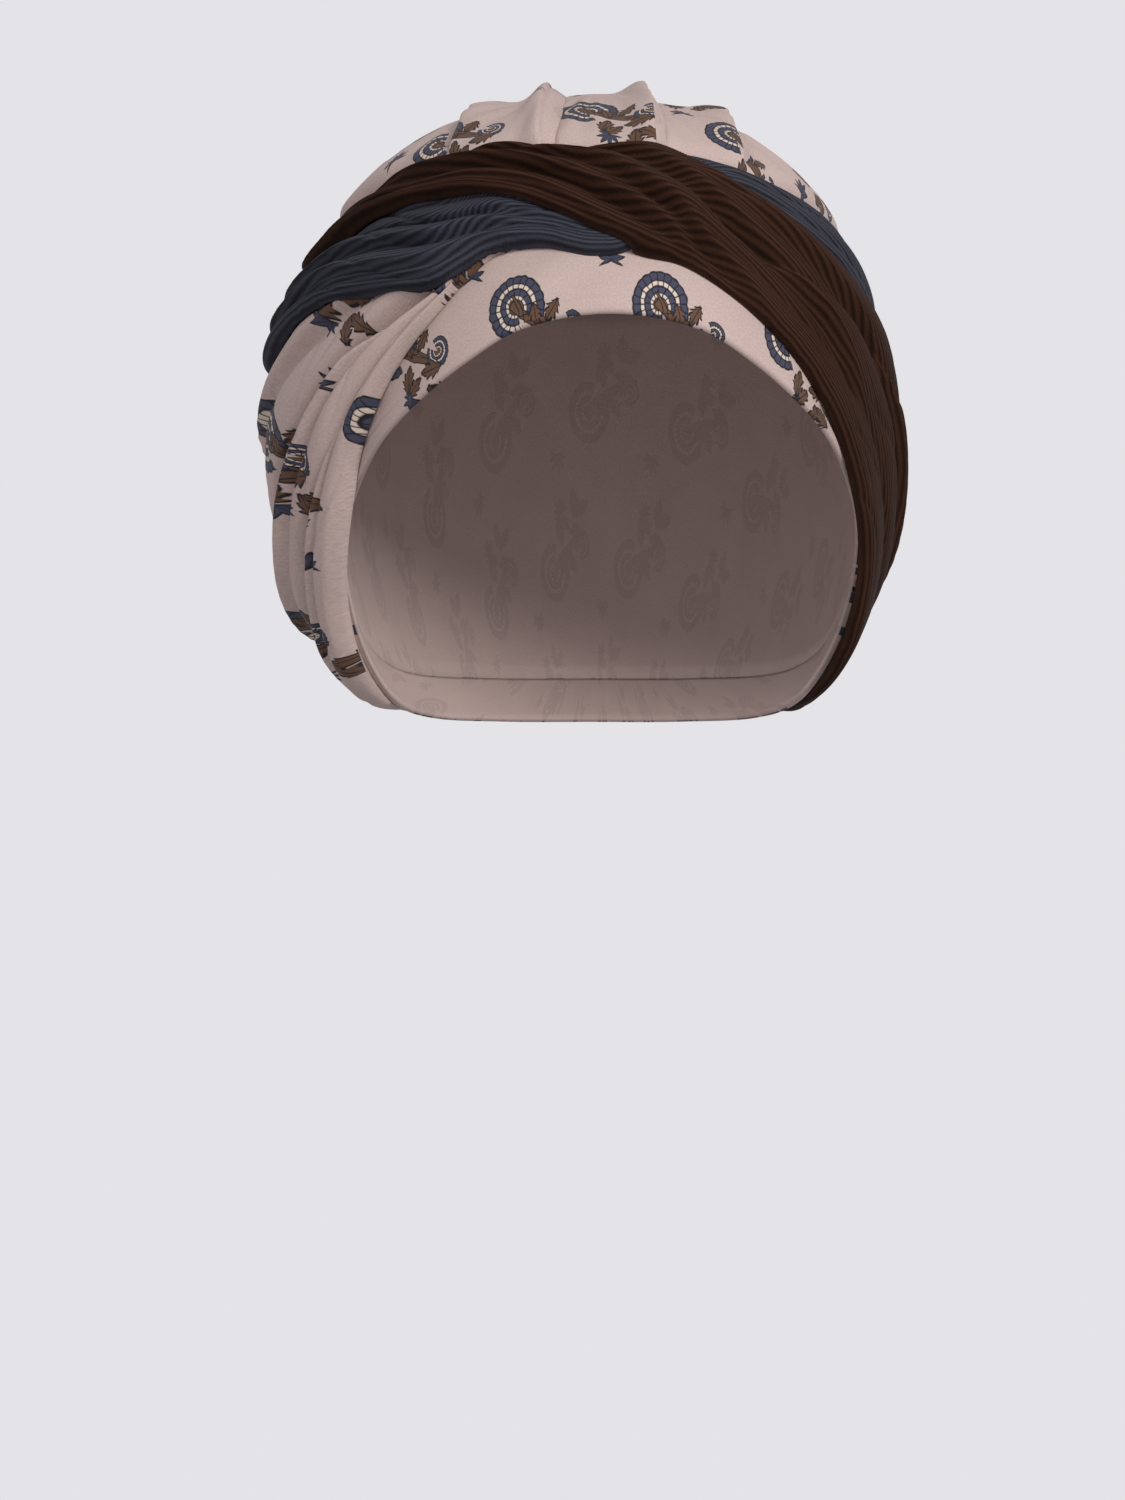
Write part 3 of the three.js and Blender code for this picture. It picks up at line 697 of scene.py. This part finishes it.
def local(u, v, du, dv, angle):
    """The place relative to the nearest motif of one kind: a half-drop repeat, turned."""
    y = v - dv
    row = v_floor(y / REPEAT_V + 0.5)
    x = u - du + v_mod(row, 2.0) * (REPEAT_U / 2)
    x = v_mod(x + REPEAT_U / 2, REPEAT_U) - REPEAT_U / 2
    y = y - row * REPEAT_V
    c, s = math.cos(math.radians(angle)), math.sin(math.radians(angle))
    return x * c + y * s, y * c - x * s


def scroll(colour, u, v, du, dv, angle, size):
    """A curled frond of blue and cream blocks round a brown stem, open at one side."""
    x, y = local(u, v, du, dv, angle)
    x, y = x / size, y / size
    radius = v_sqrt(x * x + y * y)
    turn = v_atan2(y, x) / (2 * math.pi)
    spiral = radius + turn * 1.5
    blocks = 21
    across_block = v_abs(v_fract(turn * blocks) - 0.5)
    line = inside((0.5 - across_block) * radius * (2 * math.pi / blocks) - 0.17)
    inner_blocks = 13
    inner_block = v_abs(v_fract(turn * inner_blocks + 0.3) - 0.5)
    inner_line = inside((0.5 - inner_block) * radius * (2 * math.pi / inner_blocks) - 0.16)
    gap = (v_abs(turn) - 0.45) * radius * (2 * math.pi)
    here = inside(v_max(spiral - 8.6 - v_abs(v_sin(turn * (math.pi * blocks))) * 0.25, gap))
    colour = mixed(here, colour, INK)
    colour = mixed(band(spiral, 6.5, 8.25) * (1 - line) * here, colour, BLUE)
    colour = mixed(band(spiral, 5.05, 6.1) * (1 - line) * here, colour, CREAM)
    colour = mixed(band(spiral, 3.2, 4.6) * (1 - inner_line) * here, colour, BLUE)
    colour = mixed(band(spiral, 2.2, 2.95) * (1 - inner_line) * here, colour, CREAM)
    colour = mixed(inside(spiral - 1.9) * here, colour, BROWN)
    return colour


def leaf(colour, u, v, du, dv, angle, length, width):
    """A leaf with a toothed edge that grows along +Y from its stalk, outlined, with a midrib."""
    x, y = local(u, v, du, dv, angle)
    t = math_node("DIVIDE", y, length, clamp=True)
    tooth = v_fract(t * 3.5 + 0.2)
    half = t * (1 - t) * 4 * (width * 0.92 - tooth * (width * 0.5)) + 0.15
    outside = v_max(v_abs(x) - half, v_max(-y, y - length))
    colour = mixed(inside(outside - 0.4), colour, INK)
    vein = inside(v_abs(x) - 0.16)
    return mixed(inside(outside + 0.2) * (1 - vein), colour, BROWN)


PETALS = 5


def tuft(colour, u, v, du, dv, angle, size):
    """A flower head seen from the side: a fan of pointed petals over a small cup."""
    x, y = local(u, v, du, dv, angle)
    x, y = x / size, y / size
    radius = v_sqrt(x * x + y * y)
    turn = v_atan2(x, y) / (2 * math.pi)
    lobe = v_abs(v_fract(turn * (PETALS * 1.9) + 0.5) - 0.5) * 2
    reach = 4.3 - lobe * 2.1 - v_abs(turn) * 2.2
    cut = (v_abs(turn) - 0.3) * radius * 6
    colour = mixed(inside(v_max(radius - reach - 0.35, cut - 0.4)), colour, INK)
    petal = inside(v_max(radius - reach + 0.25, cut))
    return mixed(petal * (1 - inside(lobe * radius * 0.5 - 0.1)), colour, BLUE)


def stem(colour, u, v, du, dv, angle, length, bend, width):
    """A curved brown stalk with an outline."""
    x, y = local(u, v, du, dv, angle)
    off = v_abs(y - x * x * bend)
    span = v_max(-x, x - length)
    taper = width - x * (width * 0.5 / length)
    distance = v_max(off - taper, span)
    colour = mixed(inside(distance - 0.3), colour, INK)
    return mixed(inside(distance + 0.05), colour, BROWN)


def printed(name):
    made, shader, uv, u, v = material(name)
    speck = noise(uv, 1.6, 2)
    cloudy = noise(uv, 0.045, 2)
    darker, lighter = (tuple(c * share for c in GROUND) for share in (0.7, 1.3))
    ground = mixed(speck * 0.8 + cloudy * 0.2, darker, lighter)
    u, v = u + noise(uv, 0.35, 1) * 0.8, v + noise(uv, 0.3, 1) * 0.8
    u, v = u + 28, v - 4
    colour = scroll(ground, u, v, 0, 0, 130, 1.08)
    colour = stem(colour, u, v, -1, 1, -42, 24, 0.012, 1.15)
    colour = stem(colour, u, v, 3, -3, 10, 12, -0.05, 0.9)
    colour = stem(colour, u, v, 2, -2, 100, 6, 0.05, 0.6)
    colour = scroll(colour, u, v, 19, -6, -40, 0.5)
    colour = leaf(colour, u, v, 7.5, -5, 15, 6, 2.2)
    colour = leaf(colour, u, v, 10.5, -4, -35, 6.5, 2.4)
    colour = leaf(colour, u, v, 7, -7.5, 165, 7.5, 2.7)
    colour = leaf(colour, u, v, 12, -11, -85, 8, 2.8)
    colour = leaf(colour, u, v, 11, -12, 130, 7, 2.6)
    colour = leaf(colour, u, v, 15, -15, 180, 8, 2.7)
    colour = leaf(colour, u, v, 16, -15.5, -120, 7.5, 2.6)
    colour = tuft(colour, u, v, 7.5, -17, 140, 1.0)
    colour = tuft(colour, u, v, -16, 12, 0, 1.15)
    side = made.node_tree.nodes.new("ShaderNodeAttribute")
    side.attribute_name = "outer"
    reverse = mixed(0.12, ground, colour)
    colour = mixed(Value(side.outputs["Fac"]), reverse, colour)
    Value.tree.links.new(colour.socket, shader.inputs["Base Color"])
    shader.inputs["Roughness"].default_value = 0.78
    shader.inputs["Specular IOR Level"].default_value = 0.3
    shader.inputs["Sheen Weight"].default_value = 0.05
    knit = v_sin(u * (2 * math.pi / KNIT_WALE)) * v_sin(v * (2 * math.pi / KNIT_COURSE))
    bump(shader, knit * 0.5 + speck, 0.00012, 0.6)
    return made


jersey = printed("printed_jersey_look")
navy = crinkle("navy_jersey_look", (0.002, 0.002, 0.004), (0.052, 0.053, 0.070), 0.02)
brown = crinkle("brown_jersey_look", (0.002, 0.0009, 0.0006), (0.050, 0.0205, 0.0118), 0.01)


def crown_and_brim_laid():
    """The walls of the crown and the brim, before any strand is laid."""
    grid = np.full((360, 180), CROWN_WALL)
    rise = np.arange(180) - 90
    for azimuth in range(360):
        hem, seam = brim_at("hem", azimuth), brim_at("seam", azimuth)
        grid[azimuth][(rise >= hem) & (rise <= seam)] = BRIM_WALL
    return Laid(grid)


laid = crown_and_brim_laid()

PIECES = [
    (make_crown(), "crown", "printed_jersey", jersey, (0.24, 0.30), "gathered"),
    (make_brim(), "brim", "printed_jersey", jersey, (0.020, 0.50), "stretched"),
    (make_strand("print_band", laid, 0.4), "print_band",
     "printed_jersey", jersey, (0.068, 0.60), "folded"),
    (make_strand("navy_band", laid, 1.9), "navy_band",
     "navy_crinkle_jersey", navy, (0.038, 0.57), "folded"),
    (make_strand("brown_band", laid, 3.1), "brown_band",
     "brown_crinkle_jersey", brown, (0.045, 0.65), "folded"),
]
for piece, node, slot, look, flat, held in PIECES:
    piece.data.materials.append(look)
    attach(piece, "root")
    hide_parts(node)
    rests = [] if node in ("crown", "brim") else ["crown_cloth", "brim_cloth"]

# Light, background and camera.
scene = bpy.context.scene
scene.view_settings.view_transform = "Standard"
world = bpy.data.worlds.new("studio")
scene.world = world
world.use_nodes = True
background = world.node_tree.nodes["Background"]
direction = world.node_tree.nodes.new("ShaderNodeTexCoord")
height = world.node_tree.nodes.new("ShaderNodeSeparateXYZ")
shade = world.node_tree.nodes.new("ShaderNodeValToRGB")
world.node_tree.links.new(direction.outputs["Generated"], height.inputs[0])
lift = world.node_tree.nodes.new("ShaderNodeMath")
lift.operation = "MULTIPLY_ADD"
lift.inputs[1].default_value = 0.5
lift.inputs[2].default_value = 0.5
world.node_tree.links.new(height.outputs[2], lift.inputs[0])
world.node_tree.links.new(lift.outputs[0], shade.inputs[0])
world.node_tree.links.new(shade.outputs[0], background.inputs["Color"])
stops = shade.color_ramp.elements
stops[0].position, stops[0].color = 0.12, (0.26, 0.26, 0.27, 1)
stops[1].position, stops[1].color = 0.40, (0.78, 0.77, 0.80, 1)
for position, colour in ((0.66, (0.775, 0.765, 0.795, 1)), (0.85, (0.36, 0.36, 0.38, 1))):
    stops.new(position).color = colour


def area_light(name, where, size, power):
    light = bpy.data.lights.new(name, "AREA")
    light.size = size
    light.energy = power
    holder = bpy.data.objects.new(name, light)
    scene.collection.objects.link(holder)
    holder.location = where
    aim = np.array([0, 0, -0.09]) - np.array(where)
    holder.rotation_euler = Vector(aim).to_track_quat("-Z", "Y").to_euler()


area_light("key", (0.8, -1.7, 0.9), 0.6, 33)
area_light("top", (0.2, -0.6, 1.8), 0.8, 1.5)

# The camera is level. It sees VIEW_HEIGHT millimetres at its own distance from the head.
CAMERA_DISTANCE, VIEW_HEIGHT, SENSOR_HEIGHT = 2500, 442.5, 24
CAMERA_PLACE = (-0.0108, -CAMERA_DISTANCE * MM, -0.1906)
camera_data = bpy.data.cameras.new("camera")
camera_data.sensor_fit = "VERTICAL"
camera_data.sensor_height = SENSOR_HEIGHT
camera_data.lens = CAMERA_DISTANCE * SENSOR_HEIGHT / VIEW_HEIGHT
camera = bpy.data.objects.new("camera", camera_data)
camera.location = CAMERA_PLACE
camera.rotation_euler = (math.pi / 2, 0, 0)
scene.collection.objects.link(camera)
scene.camera = camera
